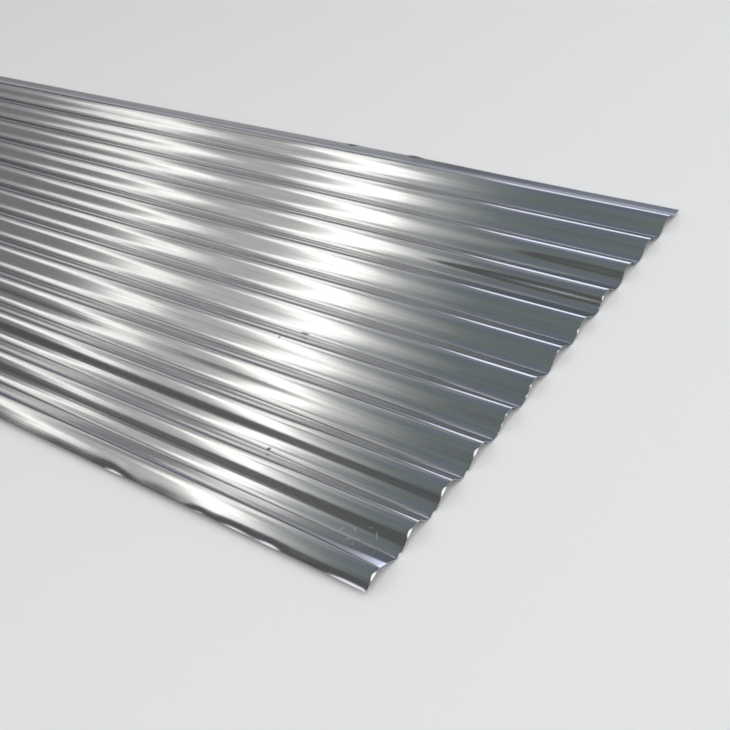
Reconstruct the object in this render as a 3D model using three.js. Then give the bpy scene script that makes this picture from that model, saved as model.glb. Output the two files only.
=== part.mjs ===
// A corrugated steel roofing sheet, lying flat.
//
// One thin metal sheet is rolled into round waves that run its whole length. Every crest and
// every valley is an arc of the same radius, and a straight web joins each crest to the next
// valley, tangent to both. The sheet keeps one thickness all along the waves.
//
// Frame: X along the waves, Y across them, Z up. The origin is at the middle of the bottom,
// level with the undersides of the valleys.
import * as THREE from 'three';

// Driving dimensions, in millimetres.
const LENGTH = 2400;       // along the waves, from cut end to cut end
const PITCH = 76;          // from one crest to the next
const DEPTH = 18;          // underside of the valleys to top of the crests
const THICKNESS = 0.5;     // of the metal
const BEND_RADIUS = 18;    // of crests and valleys, at the middle of the thickness
const CREST_COUNT = 12;
const NEAR_LAP = 27;       // first crest to the free edge beside it, measured level
const FAR_LAP = 43;        // last crest to the free edge beside it, measured level
const BEND_FACETS = 9;     // across one bend: odd, so that the middle facet lies level

// The waves, worked out from the driving dimensions.
const halfPitch = PITCH / 2;
const rise = DEPTH - THICKNESS;
// From a crest's arc centre to the next valley's arc centre.
const centreStep = new THREE.Vector2(halfPitch, 2 * BEND_RADIUS - rise);
// The web is the inner tangent of the two arcs, and this is how steeply it falls.
const webAngle = Math.asin(2 * BEND_RADIUS / centreStep.length()) - centreStep.angle();
// Half the level width that one bend takes up.
const bendReach = BEND_RADIUS * Math.sin(webAngle);

const lastCrest = (CREST_COUNT - 1) * PITCH;
const nearEdge = -NEAR_LAP;
const farEdge = lastCrest + FAR_LAP;

// The middle of the metal at a place across the sheet: its point and its unit normal.
// Places are measured from the first crest, heights from halfway up the waves.
function middleAt(place) {
  const bend = Math.round(place / halfPitch);
  const side = bend % 2 === 0 ? 1 : -1;                 // 1 on a crest, -1 in a valley
  const offset = place - bend * halfPitch;
  const onBend = Math.abs(offset) <= bendReach;
  const tilt = onBend ? Math.asin(offset / BEND_RADIUS) : Math.sign(offset) * webAngle;
  const bendDrop = BEND_RADIUS * (1 - Math.cos(tilt));
  const webDrop = onBend ? 0 : (Math.abs(offset) - bendReach) * Math.tan(webAngle);
  return {
    point: new THREE.Vector2(place, side * (rise / 2 - bendDrop - webDrop)),
    normal: new THREE.Vector2(Math.sin(tilt) * side, Math.cos(tilt)),
  };
}

// The places where facets meet: evenly turned steps round each bend, with a web after it, and
// the two free edges. A step that would fall closer to a free edge than one thickness is left out.
function facetPlaces() {
  const places = [];
  const firstBend = Math.floor(nearEdge / halfPitch);
  const lastBend = Math.ceil(farEdge / halfPitch);
  for (let bend = firstBend; bend <= lastBend; bend++) {
    for (let step = 0; step <= BEND_FACETS; step++) {
      const turn = webAngle * (2 * step / BEND_FACETS - 1);
      places.push(bend * halfPitch + BEND_RADIUS * Math.sin(turn));
    }
  }
  const inside = places.filter((place) => place > nearEdge + THICKNESS && place < farEdge - THICKNESS);
  return [nearEdge, ...inside, farEdge];
}

// One face of the metal, from the near edge to the far edge: 1 is the top, -1 the underside.
function faceOutline(side) {
  return facetPlaces().map((place) => {
    const { point, normal } = middleAt(place);
    return point.addScaledVector(normal, side * THICKNESS / 2);
  });
}

// The sheet's cross-section, drawn across (x) and up (y).
function crossSection() {
  return new THREE.Shape([...faceOutline(-1), ...faceOutline(1).reverse()]);
}

// The section drawn out along the length, turned so that the waves run along X, and moved so
// that the sheet lies on the origin's level with the origin in the middle.
function sheetGeometry() {
  const geometry = new THREE.ExtrudeGeometry(crossSection(), { depth: LENGTH, bevelEnabled: false });
  const across = new THREE.Vector3(0, 1, 0);
  const up = new THREE.Vector3(0, 0, 1);
  const along = new THREE.Vector3(1, 0, 0);
  geometry.applyMatrix4(new THREE.Matrix4().makeBasis(across, up, along));
  geometry.computeBoundingBox();
  const middle = geometry.boundingBox.getCenter(new THREE.Vector3());
  geometry.translate(-middle.x, -middle.y, -geometry.boundingBox.min.z);
  return geometry;
}

// Bright zinc-coated steel.
const galvanised = new THREE.MeshStandardMaterial({ color: 0x9da1a3, roughness: 0.3, metalness: 1 });

const sheet = new THREE.Mesh(sheetGeometry(), galvanised);
sheet.name = 'corrugated_sheet';

const part = new THREE.Group();
part.add(sheet);

export default part;
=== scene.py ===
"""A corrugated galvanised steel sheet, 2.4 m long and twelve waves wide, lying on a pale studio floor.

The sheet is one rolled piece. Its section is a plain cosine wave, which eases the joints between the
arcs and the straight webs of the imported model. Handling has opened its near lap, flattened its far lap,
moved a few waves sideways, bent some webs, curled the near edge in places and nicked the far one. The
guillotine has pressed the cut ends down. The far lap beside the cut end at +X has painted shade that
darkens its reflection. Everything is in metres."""

import math

import bpy
import numpy as np
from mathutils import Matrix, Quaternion, Vector


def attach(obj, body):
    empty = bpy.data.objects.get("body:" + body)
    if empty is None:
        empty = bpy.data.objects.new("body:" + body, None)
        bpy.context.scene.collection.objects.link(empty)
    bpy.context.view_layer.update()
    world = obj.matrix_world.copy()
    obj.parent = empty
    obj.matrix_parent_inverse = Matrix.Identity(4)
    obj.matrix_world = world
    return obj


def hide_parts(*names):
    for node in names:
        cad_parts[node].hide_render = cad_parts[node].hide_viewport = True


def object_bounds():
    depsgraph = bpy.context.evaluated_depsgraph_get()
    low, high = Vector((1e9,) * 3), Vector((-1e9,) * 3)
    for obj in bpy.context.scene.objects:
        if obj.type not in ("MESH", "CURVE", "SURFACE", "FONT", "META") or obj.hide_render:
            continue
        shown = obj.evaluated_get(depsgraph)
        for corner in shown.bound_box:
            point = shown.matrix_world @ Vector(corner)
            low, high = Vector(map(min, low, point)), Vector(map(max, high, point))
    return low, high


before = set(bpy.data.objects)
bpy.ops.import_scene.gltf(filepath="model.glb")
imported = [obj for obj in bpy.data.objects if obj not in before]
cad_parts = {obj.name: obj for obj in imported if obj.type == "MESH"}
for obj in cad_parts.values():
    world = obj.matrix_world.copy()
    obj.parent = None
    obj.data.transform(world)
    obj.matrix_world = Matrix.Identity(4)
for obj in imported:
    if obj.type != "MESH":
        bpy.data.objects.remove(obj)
CAD_LOW, CAD_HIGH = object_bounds()

# ---------------------------------------------------------------- driving sizes

MILLIMETRE = 0.001
LENGTH = CAD_HIGH.x - CAD_LOW.x
NEAR_EDGE = CAD_LOW.y
FAR_EDGE = CAD_HIGH.y
CREST_COUNT = 12
PITCH = 76 * MILLIMETRE
DEPTH = 18 * MILLIMETRE
THICKNESS = 0.5 * MILLIMETRE
NEAR_LAP = 27 * MILLIMETRE
FAR_LAP = 43 * MILLIMETRE

HALF_PITCH = PITCH / 2
HALF_LENGTH = LENGTH / 2
FIRST_CREST = NEAR_EDGE + NEAR_LAP
LAST_CREST = (CREST_COUNT - 1) * PITCH
HALF_RISE = (DEPTH - THICKNESS) / 2
MIDDLE = DEPTH / 2
BEND_COUNT = 2 * CREST_COUNT + 1

# How finely the sheet is divided: steps in half a wave, and rows along the waves.
STEPS_IN_HALF_WAVE = 14
CLOSE_ROWS_FROM = 0.62
CLOSE_ROW = 10 * MILLIMETRE
OPEN_ROW = 30 * MILLIMETRE

# The near lap is opened: its curve is longer and less steep than the waves'.
LAP_HALF_WAVE = 48 * MILLIMETRE
LAP_SLOPE = 0.59
LAP_STRETCH = 1.04

# The far lap is flattened: it falls over a short curve and runs out level. Away from the cut end at +X
# it falls less.
FAR_FALL = 30 * MILLIMETRE
FAR_SLOPE = 0.63
FAR_SLOPE_AWAY = 0.47
SPRING_START, SPRING_END = 0.95, 0.65

# The guillotine presses each end down over its last few millimetres.
DROOP = 1.15 * MILLIMETRE
DROOP_REACH = 5.5 * MILLIMETRE
DROOP_ROWS = 7

# The rolls leave each crest and valley a little high or low, and this drifts along the sheet.
BEND_SCATTER = 0.22 * MILLIMETRE
DRIFT = 0.16 * MILLIMETRE
SEED = 11


# ---------------------------------------------------------------- camera

CAMERA_PLACE = Vector((1.7737, -1.0058, 0.9617))
CAMERA_AIM = Vector((0.9461, -0.1039, 0.0))
CAMERA_ROLL = math.radians(11.16)
CAMERA_LENS = 51.5
SENSOR = 36.0


def make_camera():
    data = bpy.data.cameras.new("camera")
    data.sensor_width = SENSOR
    data.lens = CAMERA_LENS
    data.clip_start = 0.05
    data.clip_end = 60.0
    camera = bpy.data.objects.new("camera", data)
    level = (CAMERA_AIM - CAMERA_PLACE).to_track_quat("-Z", "Y")
    camera.rotation_mode = "QUATERNION"
    camera.rotation_quaternion = level @ Quaternion((0, 0, 1), -CAMERA_ROLL)
    camera.location = CAMERA_PLACE
    bpy.context.collection.objects.link(camera)
    bpy.context.scene.camera = camera


# ---------------------------------------------------------------- shape of the sheet

def fall(beyond, half_wave, steepness):
    """Height and slope of a lap that falls from its crest as a cosine of one half wave."""
    turn = math.pi / half_wave
    height = MIDDLE + HALF_RISE - steepness / turn * (1 - np.cos(beyond * turn))
    return height, steepness * np.sin(beyond * turn)


def section(x, across):
    """Height and slope of the mid-thickness line, at distances across from the first crest.

    Between the outer crests the height is the middle plus half the rise times cos(phase) and the slope
    is its derivative. Each lap falls by its own length and steepness."""
    turn = math.pi / HALF_PITCH
    height = MIDDLE + HALF_RISE * np.cos(across * turn)
    slope = -turn * HALF_RISE * np.sin(across * turn)
    near_height, near_slope = fall(-across, LAP_HALF_WAVE, LAP_SLOPE)
    ramp = np.clip((SPRING_START - x) / (SPRING_START - SPRING_END), 0, 1)
    eased = ramp**2 * (3 - 2 * ramp)
    steepness = FAR_SLOPE + (FAR_SLOPE_AWAY - FAR_SLOPE) * eased
    beyond = np.clip(across - LAST_CREST, 0, FAR_FALL)
    far_height, far_slope = fall(beyond, FAR_FALL, steepness)
    near, far = across < 0, across > LAST_CREST
    height = np.where(near, near_height, np.where(far, far_height, height))
    slope = np.where(near, near_slope, np.where(far, -far_slope, slope))
    return height, slope


def lines_across():
    """Distances across of the mesh's lines: even steps in every half wave, ends at both edges."""
    near, far = NEAR_EDGE - FIRST_CREST, FAR_EDGE - FIRST_CREST
    step = HALF_PITCH / STEPS_IN_HALF_WAVE
    inner = np.arange(math.ceil(near / step), math.floor(far / step) + 1) * step
    inner = inner[(inner > near + step / 4) & (inner < far - step / 4)]
    return np.concatenate([[near], inner, [far]])


def rows_along():
    """Distances along of the mesh's rows: close near the end at +X, open elsewhere, fine in the droop."""
    inner_end = HALF_LENGTH - DROOP_REACH
    droop = np.linspace(inner_end, HALF_LENGTH, DROOP_ROWS + 1)
    close = np.linspace(CLOSE_ROWS_FROM, inner_end, round((inner_end - CLOSE_ROWS_FROM) / CLOSE_ROW) + 1)
    opened = np.linspace(-inner_end, CLOSE_ROWS_FROM, round((inner_end + CLOSE_ROWS_FROM) / OPEN_ROW) + 1)
    return np.concatenate([-droop[::-1], opened[1:-1], close[:-1], droop])


def roll_scatter(x, across, rng):
    """Height left by the rolls: one offset for each bend, drifting along X as a slow sine, eased by a
    raised cosine from each bend to the next."""
    offset = rng.normal(0, BEND_SCATTER, BEND_COUNT + 1)
    swing = rng.normal(0, DRIFT, BEND_COUNT + 1)
    wavelength = rng.uniform(0.7, 1.6, BEND_COUNT + 1)
    start = rng.uniform(0, 2 * math.pi, BEND_COUNT + 1)

    def at_bend(i):
        return offset[i] + swing[i] * np.sin(2 * math.pi * x / wavelength[i] + start[i])

    place = across / HALF_PITCH + 1
    before = np.clip(np.floor(place).astype(int), 0, BEND_COUNT - 1)
    share = (1 - np.cos(math.pi * np.clip(place - before, 0, 1))) / 2
    return at_bend(before) * (1 - share) + at_bend(before + 1) * share


# Places where the waves have moved sideways: place along X, wave, reach along X, reach in waves and
# distance moved in millimetres.
DRIFTS = ((1.10, 3.2, 0.45, 1.4, 5.0), (0.25, 6.6, 0.50, 1.3, -5.0))


def sideways_drift(x, across):
    """Distance the section has moved across: a bell in both directions round each place."""
    total = np.zeros_like(x)
    for place, crest, reach, waves, amount in DRIFTS:
        along = (x - place) / reach
        over = (across / PITCH - crest) / waves
        total += amount * MILLIMETRE * np.exp(-(along**2) - over**2)
    return total


# Webs bent steeper or less steep: web, change of slope, place and reach along X, and a power that puts
# the change halfway across the web at one and nearer the web's first bend below one. Webs are counted
# from the first crest, even ones falling and odd ones rising.
BENT_WEBS = (
    (0, -0.21, 1.20, 0.080, 0.80),
    (1, -0.055, 0.40, 1.20, 1.0),
    (2, 0.35, 1.20, 0.30, 1.0),
    (4, 0.35, 1.20, 0.30, 1.0),
    (5, -0.05, 0.58, 0.10, 1.0),
    (5, -0.05, 1.12, 0.14, 1.0),
    (6, 0.22, 1.20, 0.30, 1.0),
    (8, 0.38, 1.20, 0.13, 1.0),
    (15, 0.48, 1.13, 0.27, 1.0),
    (16, 0.13, 1.20, 0.40, 1.0),
    (17, 0.44, 1.15, 0.18, 1.0),
    (18, 0.20, 1.20, 0.30, 1.0),
    (20, 0.12, 1.20, 0.30, 1.0),
)


def bent_webs(x, across):
    """Height added to a web: sin(2s) sin(s), s running from 0 to pi across the web as a power of the
    distance, which changes the slope halfway and leaves both bends alone."""
    total = np.zeros_like(x)
    for web, change, place, reach, power in BENT_WEBS:
        share = np.clip(across / HALF_PITCH - web, 0, 1) ** power
        shape = np.sin(2 * math.pi * share) * np.sin(math.pi * share)
        falling = 1 if web % 2 == 0 else -1
        amount = change * HALF_PITCH / (2 * math.pi) * np.exp(-(((x - place) / reach) ** 2))
        total += falling * amount * shape
    return total


# Dents in the near lap: place along X, half length and height at the edge in millimetres.
NEAR_DENTS = ((0.755, 0.022, -0.9), (0.80, 0.026, 0.7), (0.925, 0.035, 0.5), (-0.46, 0.03, -1.0))
# Places where the near edge is curled down, in the same order.
NEAR_CURLS = (
    (1.175, 0.045, -1.0),
    (1.052, 0.019, -0.97),
    (0.990, 0.040, -0.90),
    (0.927, 0.015, -1.08),
    (0.771, 0.030, -0.86),
)
# Nicks bent up in the far lap, in the same order.
FAR_DENTS = ((0.671, 0.014, 2.4), (0.520, 0.010, 2.2), (-0.710, 0.011, 1.8))


# Long waves in both free laps: height in millimetres, wavelength along X and start. The far lap has less
# of them.
LONG_WAVES = ((0.22, 0.43, 0.8), (0.15, 0.19, 2.0))
FAR_SHARE = 0.7
# The powers of the distance from the outer crest with which each kind of lap damage grows.
LAP_POWER, NICK_POWER, CURL_POWER = 2, 6, 12


def lap_dents(x, dents):
    """Height in millimetres of bell-shaped dents along X."""
    total = np.zeros_like(x)
    for place, half_length, depth in dents:
        total += depth * np.exp(-(((x - place) / half_length) ** 2))
    return total


def lap_height(x, across):
    """Height added to the two free laps: long sines and the near lap's dents grow with the square of the
    distance from the outer crest, the far lap's nicks with its sixth power and the near edge's curls
    with its twelfth."""
    long_wave = np.zeros_like(x)
    for height, length, start in LONG_WAVES:
        long_wave += height * np.sin(2 * math.pi * x / length + start)
    before = np.clip(-across / NEAR_LAP, 0, 1)
    near = (long_wave + lap_dents(x, NEAR_DENTS)) * before**LAP_POWER
    near += lap_dents(x, NEAR_CURLS) * before**CURL_POWER
    beyond = np.clip((across - LAST_CREST) / FAR_LAP, 0, 1)
    far = FAR_SHARE * long_wave * beyond**LAP_POWER + lap_dents(x, FAR_DENTS) * beyond**NICK_POWER
    return (near + far) * MILLIMETRE


# The guillotine presses the first waves one way and the middle ones another, up to these numbers of
# waves past the first crest. A logistic step of this sharpness parts them.
FIRST_WAVES_END, MIDDLE_WAVES_END = 3.3, 8.5
CHANGE_SHARPNESS = 4
# Each bell across a wave: distance from its crest and half width.
BELOW_CREST = (-9 * MILLIMETRE, 5 * MILLIMETRE)
AT_VALLEY = (35 * MILLIMETRE, 4 * MILLIMETRE)
ON_WEB = (-17 * MILLIMETRE, 12 * MILLIMETRE)
# Two sines multiply into the beads of the middle waves: their lengths over a radian.
BEAD_LENGTH, BEAD_GROUP = 1.31 * MILLIMETRE, 4.3 * MILLIMETRE
# Shares of the droop that each of these takes.
EVEN_SHARE, VALLEY_SHARE, BEAD_SHARE, WEB_SHARE = 0.10, 0.7, 0.8, 0.25


def bell(distance, centre, half_width):
    return np.exp(-(((distance - centre) / half_width) ** 2))


def end_droop(x, across):
    """Drop of the cut ends: the square of the distance into the last few millimetres. Bells below the
    crests and at the valleys of the first waves are pressed most; the middle waves have beads; the
    last ones drop least. Every wave also has a wide bell on one web."""
    into = np.clip((np.abs(x) - (HALF_LENGTH - DROOP_REACH)) / DROOP_REACH, 0, 1)
    number = across / PITCH
    phase = across - np.round(number) * PITCH
    first = 1 / (1 + np.exp((number - FIRST_WAVES_END) * CHANGE_SHARPNESS))
    middle = (1 - first) / (1 + np.exp((number - MIDDLE_WAVES_END) * CHANGE_SHARPNESS))
    beads = np.clip(np.sin(across / BEAD_LENGTH) * np.sin(across / BEAD_GROUP + 1) * 2 - 0.5, 0, 1)
    pressed = EVEN_SHARE + WEB_SHARE * bell(phase, *ON_WEB)
    pressed += first * (bell(phase, *BELOW_CREST) + VALLEY_SHARE * bell(np.abs(phase), *AT_VALLEY))
    pressed += middle * beads * BEAD_SHARE
    return DROOP * into**2 * pressed


def sheet_arrays():
    """Vertices and quads of the closed sheet: the middle surface moved half a thickness each way along
    the section's normal, and a rim that joins the two."""
    rng = np.random.default_rng(SEED)
    x, across = np.meshgrid(rows_along(), lines_across(), indexing="ij")
    height, slope = section(x, across)
    height += roll_scatter(x, across, rng) + bent_webs(x, across) + lap_height(x, across)
    height -= end_droop(x, across)
    place = np.where(across < 0, across * LAP_STRETCH, across) + sideways_drift(x, across)
    length_of_normal = np.sqrt(1 + slope**2)
    both = []
    for side in (0.5, -0.5):
        shift = side * THICKNESS / length_of_normal
        both.append(np.stack([x, FIRST_CREST + place - slope * shift, height + shift], -1).reshape(-1, 3))
    points = np.concatenate(both)
    points[:, 2] -= points[:, 2].min()
    rows, columns = x.shape
    index = np.arange(rows * columns).reshape(rows, columns)
    a, b = index[:-1, :-1].ravel(), index[1:, :-1].ravel()
    c, d = index[1:, 1:].ravel(), index[:-1, 1:].ravel()
    top = np.stack([a, b, c, d], -1)
    under = np.stack([a, d, c, b], -1) + rows * columns
    rim = np.concatenate([index[0, :-1], index[:-1, -1], index[-1, :0:-1], index[:0:-1, 0]])
    onward = np.roll(rim, -1)
    walls = np.stack([rim, onward, onward + rows * columns, rim + rows * columns], -1)
    return points, np.concatenate([top, under, walls])


def make_mesh(name, points, quads):
    """Puts whole arrays of points and quads into the mesh of a new object at the origin."""
    mesh = bpy.data.meshes.new(name)
    mesh.vertices.add(len(points))
    mesh.vertices.foreach_set("co", points.astype(np.float32).ravel())
    mesh.loops.add(quads.size)
    mesh.loops.foreach_set("vertex_index", quads.astype(np.int32).ravel())
    mesh.polygons.add(len(quads))
    mesh.polygons.foreach_set("loop_start", np.arange(0, quads.size, 4, dtype=np.int32))
    mesh.polygons.foreach_set("loop_total", np.full(len(quads), 4, dtype=np.int32))
    mesh.update(calc_edges=True)
    mesh.validate()
    piece = bpy.data.objects.new(name, mesh)
    bpy.context.collection.objects.link(piece)
    return piece


SHARP = math.radians(40)


def make_sheet(material):
    piece = make_mesh("rolled_sheet", *sheet_arrays())
    piece.data.shade_smooth()
    piece.data.set_sharp_from_angle(angle=SHARP)
    piece.data.materials.append(material)
    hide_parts("corrugated_sheet")
    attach(piece, "root")


# ---------------------------------------------------------------- shader maths

class Value:
    """A shader socket that can be used in arithmetic: each operator adds its Math node."""

    def __init__(self, tree, socket):
        self.tree = tree
        self.socket = socket

    def maths(self, operation, *operands):
        made = add_node(self.tree, "ShaderNodeMath", {"operation": operation}, dict(enumerate(operands)))
        return Value(self.tree, made.outputs[0])

    def __add__(self, other):
        return self.maths("ADD", self, other)

    def __sub__(self, other):
        return self.maths("SUBTRACT", self, other)

    def __mul__(self, other):
        return self.maths("MULTIPLY", self, other)

    def __truediv__(self, other):
        return self.maths("DIVIDE", self, other)

    def __pow__(self, other):
        return self.maths("POWER", self, other)

    def __radd__(self, other):
        return self.maths("ADD", other, self)

    def __rsub__(self, other):
        return self.maths("SUBTRACT", other, self)

    def __rmul__(self, other):
        return self.maths("MULTIPLY", other, self)

    def __abs__(self):
        return self.maths("ABSOLUTE", self)

    def above(self, edge, width):
        """Zero below edge, one above edge + width, and a straight ramp between them."""
        held = self.maths("DIVIDE", self - edge, width)
        return self.maths("MINIMUM", self.maths("MAXIMUM", held, 0.0), 1.0)

    def largest(self, other):
        return self.maths("MAXIMUM", self, other)


def add_node(tree, kind, settings=None, inputs=None):
    """One node of a kind, with its settings made first and then its inputs set or linked."""
    made = tree.nodes.new(kind)
    for name, setting in (settings or {}).items():
        setattr(made, name, setting)
    for name, given in (inputs or {}).items():
        target = made.inputs[name]
        if isinstance(given, Value):
            tree.links.new(given.socket, target)
        elif isinstance(given, bpy.types.NodeSocket):
            tree.links.new(given, target)
        else:
            target.default_value = given
    return made


def noise(tree, place, stretch, detail, roughness):
    """Noise from 0 to 1, read at a place that is first stretched along X, Y and Z."""
    mapped = add_node(tree, "ShaderNodeMapping", None, {"Vector": place, "Scale": stretch})
    made = add_node(
        tree,
        "ShaderNodeTexNoise",
        None,
        {"Vector": mapped.outputs[0], "Scale": 1.0, "Detail": detail, "Roughness": roughness},
    )
    return Value(tree, made.outputs["Fac"])


def blend_colour(tree, share, first, second):
    """The first colour where the share is zero and the second where it is one."""
    made = add_node(tree, "ShaderNodeMix", {"data_type": "RGBA"}, {0: share, 6: first, 7: second})
    return made.outputs[2]


ZINC = (0.70, 0.70, 0.685, 1.0)
ZINC_DULL = (0.56, 0.572, 0.60, 1.0)
BARE_STEEL = (0.72, 0.71, 0.69, 1.0)
SCRATCHED = (0.86, 0.86, 0.85, 1.0)
# The colour of the painted shade on the far lap, which darkens its reflection of the floor.
FAR_LAP_PAINTED_SHADE = (0.26, 0.265, 0.29, 1.0)
SMUDGE = (0.16, 0.155, 0.14, 1.0)

# Noises in the zinc: stretch along X, Y and Z, detail and roughness.
FINE_LINES = ((0.9, 620.0, 0.0), 3.0, 0.6)
ROLL_LINES = ((0.8, 200.0, 0.0), 1.0, 0.5)
MOTTLING = ((14.0, 30.0, 30.0), 4.0, 0.6)
HAZE = ((2.0, 7.0, 0.0), 3.0, 0.55)
STREAKS = ((0.5, 260.0, 0.0), 2.0, 0.55)
PATCHES = ((90.0, 90.0, 0.0), 1.0, 0.5)
# The zinc is dull where mottling and streaks, in these shares, pass an edge: the edge and its width.
MOTTLING_SHARE, STREAK_SHARE = 0.35, 0.65
DULL_EDGE = (0.34, 0.32)

# Small dark marks, one of them faint, and darker colour at two of the far lap's nicks: centre along X and
# Y, half length along X, half width along Y, and strength.
MARKS = (
    (0.931, -0.314, 0.0030, 0.0040, 0.80),
    (0.798, -0.122, 0.0022, 0.0050, 0.25),
    (0.814, -0.082, 0.0085, 0.0018, 0.80),
    (0.671, 0.453, 0.0200, 0.0090, 0.80),
    (0.520, 0.453, 0.0140, 0.0080, 0.80),
)
# A mark's edge, in squared distance from its centre: where it starts and its width.
MARK_EDGE = (0.3, 0.9)
# Faint curved scuffs: centre along X and Y, and radius.
SCUFFS = ((1.122, -0.388, 0.011), (1.150, -0.382, 0.012), (1.136, -0.398, 0.008))
SCUFF_WIDTH = 1.0 * MILLIMETRE
SCUFF_BREAKS = (0.46, 0.12)
SCUFF_STRENGTH = 0.4

# The far lap's painted shade: where it starts past the last crest and how wide its edge is, then the same
# along X.
FAR_LAP_SHADE_ACROSS = (FIRST_CREST + LAST_CREST + 4 * MILLIMETRE, 8 * MILLIMETRE)
FAR_LAP_SHADE_ALONG = (0.62, 0.15)
FAR_LAP_SHADE_STRENGTH = 0.85
# Bare metal at the cut ends.
CUT_DEPTH = 0.3 * MILLIMETRE
CUT_EDGE = 0.2 * MILLIMETRE
# Roughness of clean zinc and what is added to it.
POLISH = 0.08
HAZE_ROUGHNESS, LINE_ROUGHNESS, DULL_ROUGHNESS = 0.04, 0.04, 0.02
FAR_LAP_SHADE_ROUGHNESS, SCUFF_ROUGHNESS, MARK_ROUGHNESS, CUT_ROUGHNESS = 0.2, 0.15, 0.4, 0.15
# Relief of the roll lines, and the shares that fine lines and haze add to it.
RELIEF_HEIGHT = 0.09 * MILLIMETRE
LINE_RELIEF, HAZE_RELIEF = 0.12, 0.3


def galvanised_steel():
    """Bright zinc on rolled steel: roll lines along the waves, faint mottling, scuffs and cut edges."""
    material = bpy.data.materials.new("galvanised_steel")
    material.use_nodes = True
    tree = material.node_tree
    shader = tree.nodes["Principled BSDF"]
    place = add_node(tree, "ShaderNodeTexCoord").outputs["Object"]
    parts = add_node(tree, "ShaderNodeSeparateXYZ", None, {0: place})
    x, y = Value(tree, parts.outputs[0]), Value(tree, parts.outputs[1])

    fine_lines = noise(tree, place, *FINE_LINES)
    roll_lines = noise(tree, place, *ROLL_LINES)
    mottling = noise(tree, place, *MOTTLING)
    haze = noise(tree, place, *HAZE)
    streaks = noise(tree, place, *STREAKS)

    dullness = (mottling * MOTTLING_SHARE + streaks * STREAK_SHARE).above(*DULL_EDGE)
    colour = blend_colour(tree, dullness, ZINC, ZINC_DULL)

    mark = None
    for centre_x, centre_y, half_length, half_width, strength in MARKS:
        along = (x - centre_x) / half_length
        over = (y - centre_y) / half_width
        one = strength * (1.0 - (along * along + over * over).above(*MARK_EDGE))
        mark = one if mark is None else mark.largest(one)
    colour = blend_colour(tree, mark, colour, SMUDGE)

    # Painted shade: the far lap beside the cut end at +X is darkened so that it reflects less of the
    # bright floor.
    far_lap_shade_mask = y.above(*FAR_LAP_SHADE_ACROSS)
    painted_far_lap_shade = far_lap_shade_mask * x.above(*FAR_LAP_SHADE_ALONG)
    colour = blend_colour(tree, painted_far_lap_shade * FAR_LAP_SHADE_STRENGTH, colour, FAR_LAP_PAINTED_SHADE)

    cut = abs(x).above(HALF_LENGTH - CUT_DEPTH, CUT_EDGE)
    colour = blend_colour(tree, cut, colour, BARE_STEEL)

    scuff = None
    for centre_x, centre_y, radius in SCUFFS:
        across, over = x - centre_x, y - centre_y
        distance = (across * across + over * over) ** 0.5
        ring = 1.0 - abs(distance - radius).above(0.0, SCUFF_WIDTH)
        scuff = ring if scuff is None else scuff.largest(ring)
    patches = noise(tree, place, *PATCHES)
    scuff = scuff * patches.above(*SCUFF_BREAKS)
    colour = blend_colour(tree, scuff * SCUFF_STRENGTH, colour, SCRATCHED)

    roughness = POLISH + haze * HAZE_ROUGHNESS + fine_lines * LINE_ROUGHNESS + dullness * DULL_ROUGHNESS
    # The far lap's painted shade is also made rougher.
    roughness = roughness + far_lap_shade_mask * FAR_LAP_SHADE_ROUGHNESS + scuff * SCUFF_ROUGHNESS
    roughness = roughness + mark * MARK_ROUGHNESS + cut * CUT_ROUGHNESS

    relief = roll_lines + fine_lines * LINE_RELIEF + haze * HAZE_RELIEF
    bump = add_node(
        tree, "ShaderNodeBump", None, {"Strength": 1.0, "Distance": RELIEF_HEIGHT, "Height": relief}
    )

    shader.inputs["Metallic"].default_value = 1.0
    tree.links.new(colour, shader.inputs["Base Color"])
    tree.links.new(roughness.socket, shader.inputs["Roughness"])
    tree.links.new(bump.outputs[0], shader.inputs["Normal"])
    return material


# ---------------------------------------------------------------- floor, world and lamps

FLOOR_HALF = 12.0
FLOOR_COLOUR = (0.93, 0.93, 0.93, 1.0)
FLOOR_ROUGHNESS = 0.9
FLOOR_SHEEN = 0.2
WORLD_COLOUR = (0.103, 0.105, 0.108, 1.0)
ROOF = 4.6


def make_floor():
    corners = np.array([[-1, -1, 0], [1, -1, 0], [1, 1, 0], [-1, 1, 0]], float) * FLOOR_HALF
    floor = make_mesh("floor", corners, np.array([[0, 1, 2, 3]]))
    material = bpy.data.materials.new("pale_floor")
    material.use_nodes = True
    shader = material.node_tree.nodes["Principled BSDF"]
    shader.inputs["Base Color"].default_value = FLOOR_COLOUR
    shader.inputs["Roughness"].default_value = FLOOR_ROUGHNESS
    shader.inputs["Specular IOR Level"].default_value = FLOOR_SHEEN
    floor.data.materials.append(material)


def make_world():
    world = bpy.data.worlds.new("dim_hall")
    world.use_nodes = True
    world.node_tree.nodes["Background"].inputs["Color"].default_value = WORLD_COLOUR
    bpy.context.scene.world = world


def soft_box(name, place, aim, size, radiance, colour=(1.0, 1.0, 1.0), turn=0.0):
    """A rectangular lamp. Watts are pi x area x radiance, the radiance being what a mirror shows."""
    data = bpy.data.lights.new(name, "AREA")
    data.shape = "RECTANGLE"
    data.size, data.size_y = size
    data.energy = math.pi * size[0] * size[1] * radiance
    data.color = colour
    lamp = bpy.data.objects.new(name, data)
    lamp.location = place
    facing = (Vector(aim) - Vector(place)).to_track_quat("-Z", "Y")
    lamp.rotation_mode = "QUATERNION"
    lamp.rotation_quaternion = facing @ Quaternion((0, 0, 1), math.radians(turn))
    bpy.context.collection.objects.link(lamp)


def roof_box(name, x, y, size, radiance, colour=(1.0, 1.0, 1.0), turn=0.0, height=ROOF):
    """A soft box that faces straight down from the roof."""
    soft_box(name, (x, y, height), (x, y, 0), size, radiance, colour, turn)


WARM_WHITE = (1.0, 1.0, 0.95)
COOL_WHITE = (0.76, 0.82, 1.0)
SHADE_BLUE = (0.70, 0.95, 1.30)
SHADE_GREEN = (0.72, 1.00, 0.98)
LILAC = (0.88, 0.88, 1.10)

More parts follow.
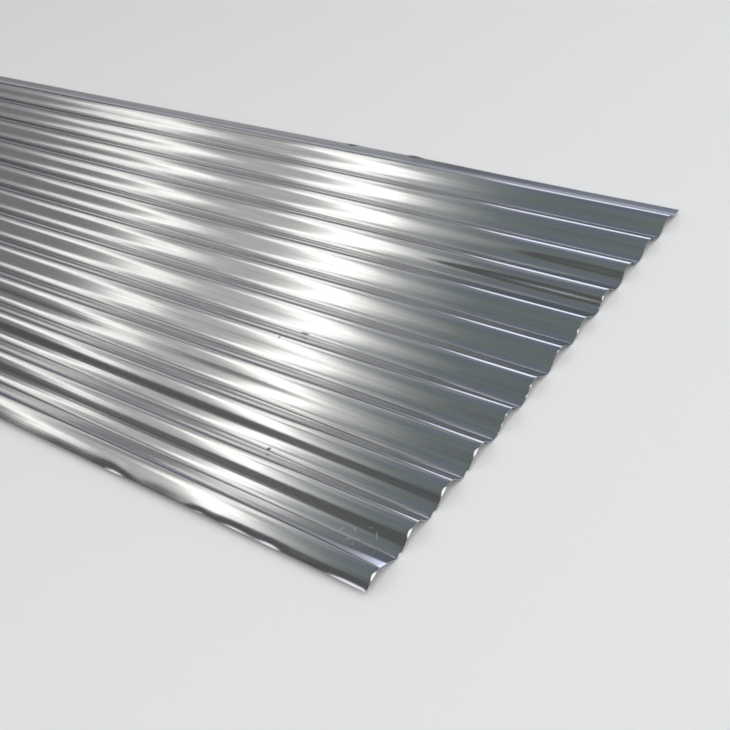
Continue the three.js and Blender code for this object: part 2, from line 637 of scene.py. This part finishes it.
# Two rows of roof lights run over the sheet and curve away, and dimmer glows hang just below the roof
# beside them: each stretch is its two ends, its width and its radiance.
ROOF_LIGHTS = (
    ((-2.76, -2.79), (-2.53, -0.70), 0.58, 2.0),
    ((-2.50, -0.70), (-2.85, 0.50), 0.70, 1.9),
    ((-2.85, 0.50), (-2.92, 2.40), 0.75, 1.5),
    ((-2.92, 2.40), (-3.55, 3.80), 0.80, 1.5),
    ((-3.55, 3.80), (-5.00, 6.90), 0.90, 0.75),
    ((-4.85, -2.79), (-4.30, -1.75), 0.60, 1.7),
    ((-4.30, -1.75), (-4.60, -0.80), 0.70, 1.7),
    ((-4.60, -0.80), (-4.90, 0.60), 0.80, 1.4),
    ((-4.90, 0.60), (-5.30, 2.40), 0.95, 1.2),
    ((-5.30, 2.40), (-5.95, 3.80), 0.85, 0.9),
    ((-5.95, 3.80), (-7.60, 6.90), 0.90, 0.7),
)
GLOW_DROP = 0.01
GLOWS = (
    ((-2.00, -2.79), (-1.98, 2.20), 0.80, 0.08),
    ((-2.10, -2.79), (-2.10, 2.20), 0.60, 0.13),
    ((-2.22, -2.79), (-2.22, 0.60), 0.40, 0.14),
    ((-3.15, 4.00), (-3.95, 6.90), 1.00, 0.22),
    ((-2.30, 1.80), (-2.85, 4.40), 0.70, 0.11),
    ((-4.80, 3.20), (-6.35, 6.90), 1.00, 0.25),
    ((-3.50, -2.79), (-3.60, 0.90), 1.10, 0.19),
    ((-5.25, -0.95), (-5.60, 0.90), 0.75, 0.80),
)

# The key light is a row of panels, bright and dim in turn: where each starts and stops along X, and its
# radiance. It lights the floor and the views from the other sides.
KEY_PANELS = (
    (0.8, 3.6, 1.35),
    (3.6, 4.6, 0.45),
    (4.6, 6.0, 1.35),
    (6.0, 7.2, 0.45),
    (7.2, 12.0, 1.35),
)
KEY_DEPTH = 18.0

# Wide panels under the roof: name, middle along X and Y, size, radiance and colour. The last one lights
# the views along the sheet.
WHITE = (1.0, 1.0, 1.0)
ROOF_PANELS = (
    ("dim_roof", -0.65, 3.9, (2.7, 7.4), 0.107, SHADE_BLUE),
    ("dim_near_roof", -0.65, -0.95, (2.7, 2.3), 0.10, SHADE_GREEN),
    ("dim_roof_end", -0.65, -2.45, (2.7, 0.7), 0.075, SHADE_GREEN),
    ("roof_edge", -1.95, 0.4, (0.50, 6.4), 0.125, WHITE),
    ("bright_roof", -3.55, 2.4, (3.1, 10.4), 0.225, WHITE),
    ("left_roof", -6.60, 3.6, (3.0, 8.0), 0.25, WHITE),
    ("near_left_roof", -6.60, -1.6, (3.0, 2.4), 0.14, WHITE),
    ("end_roof", -16.3, 0.0, (8.0, 16.0), 0.65, WHITE),
)
# A panel before the near edge, which lights the floor and shines in the curled edge.
FRONT_PANEL = ("front_key", -3.6, -7.9, (8.8, 6.0), 1.25)

# The hall's far wall and the bright opening in it: name, place, aim, size, radiance and colour.
WALL_BOXES = (
    ("far_wall", (-5.5, 9.5, 1.9), (-5.5, 0.0, 1.9), (17.0, 3.8), 0.27, LILAC),
    ("far_door", (-1.25, 8.0, 2.3), (0.8, 0.0, 0.0), (3.8, 3.5), 1.25, COOL_WHITE),
)


def make_stretches(name, stretches, drop):
    """Soft boxes along stretches of the roof, each hung lower than the one before by the drop."""
    for number, (start, stop, width, radiance) in enumerate(stretches):
        along, over = stop[0] - start[0], stop[1] - start[1]
        turn = -math.degrees(math.atan2(along, over))
        middle = ((start[0] + stop[0]) / 2, (start[1] + stop[1]) / 2)
        size = (width, math.hypot(along, over))
        height = ROOF - drop * (number + 1)
        roof_box(f"{name}_{number}", *middle, size, radiance, WARM_WHITE, turn, height)


def make_lamps():
    make_stretches("roof_light", ROOF_LIGHTS, 0.0)
    make_stretches("glow", GLOWS, GLOW_DROP)
    for panel in ROOF_PANELS:
        roof_box(*panel)
    for box in WALL_BOXES:
        soft_box(*box)
    for number, (start, stop, radiance) in enumerate(KEY_PANELS):
        roof_box(f"key_{number}", (start + stop) / 2, 0.0, (stop - start, KEY_DEPTH), radiance)
    roof_box(*FRONT_PANEL)


bpy.context.scene.view_settings.view_transform = "Standard"
make_camera()
make_world()
make_lamps()
make_floor()
make_sheet(galvanised_steel())
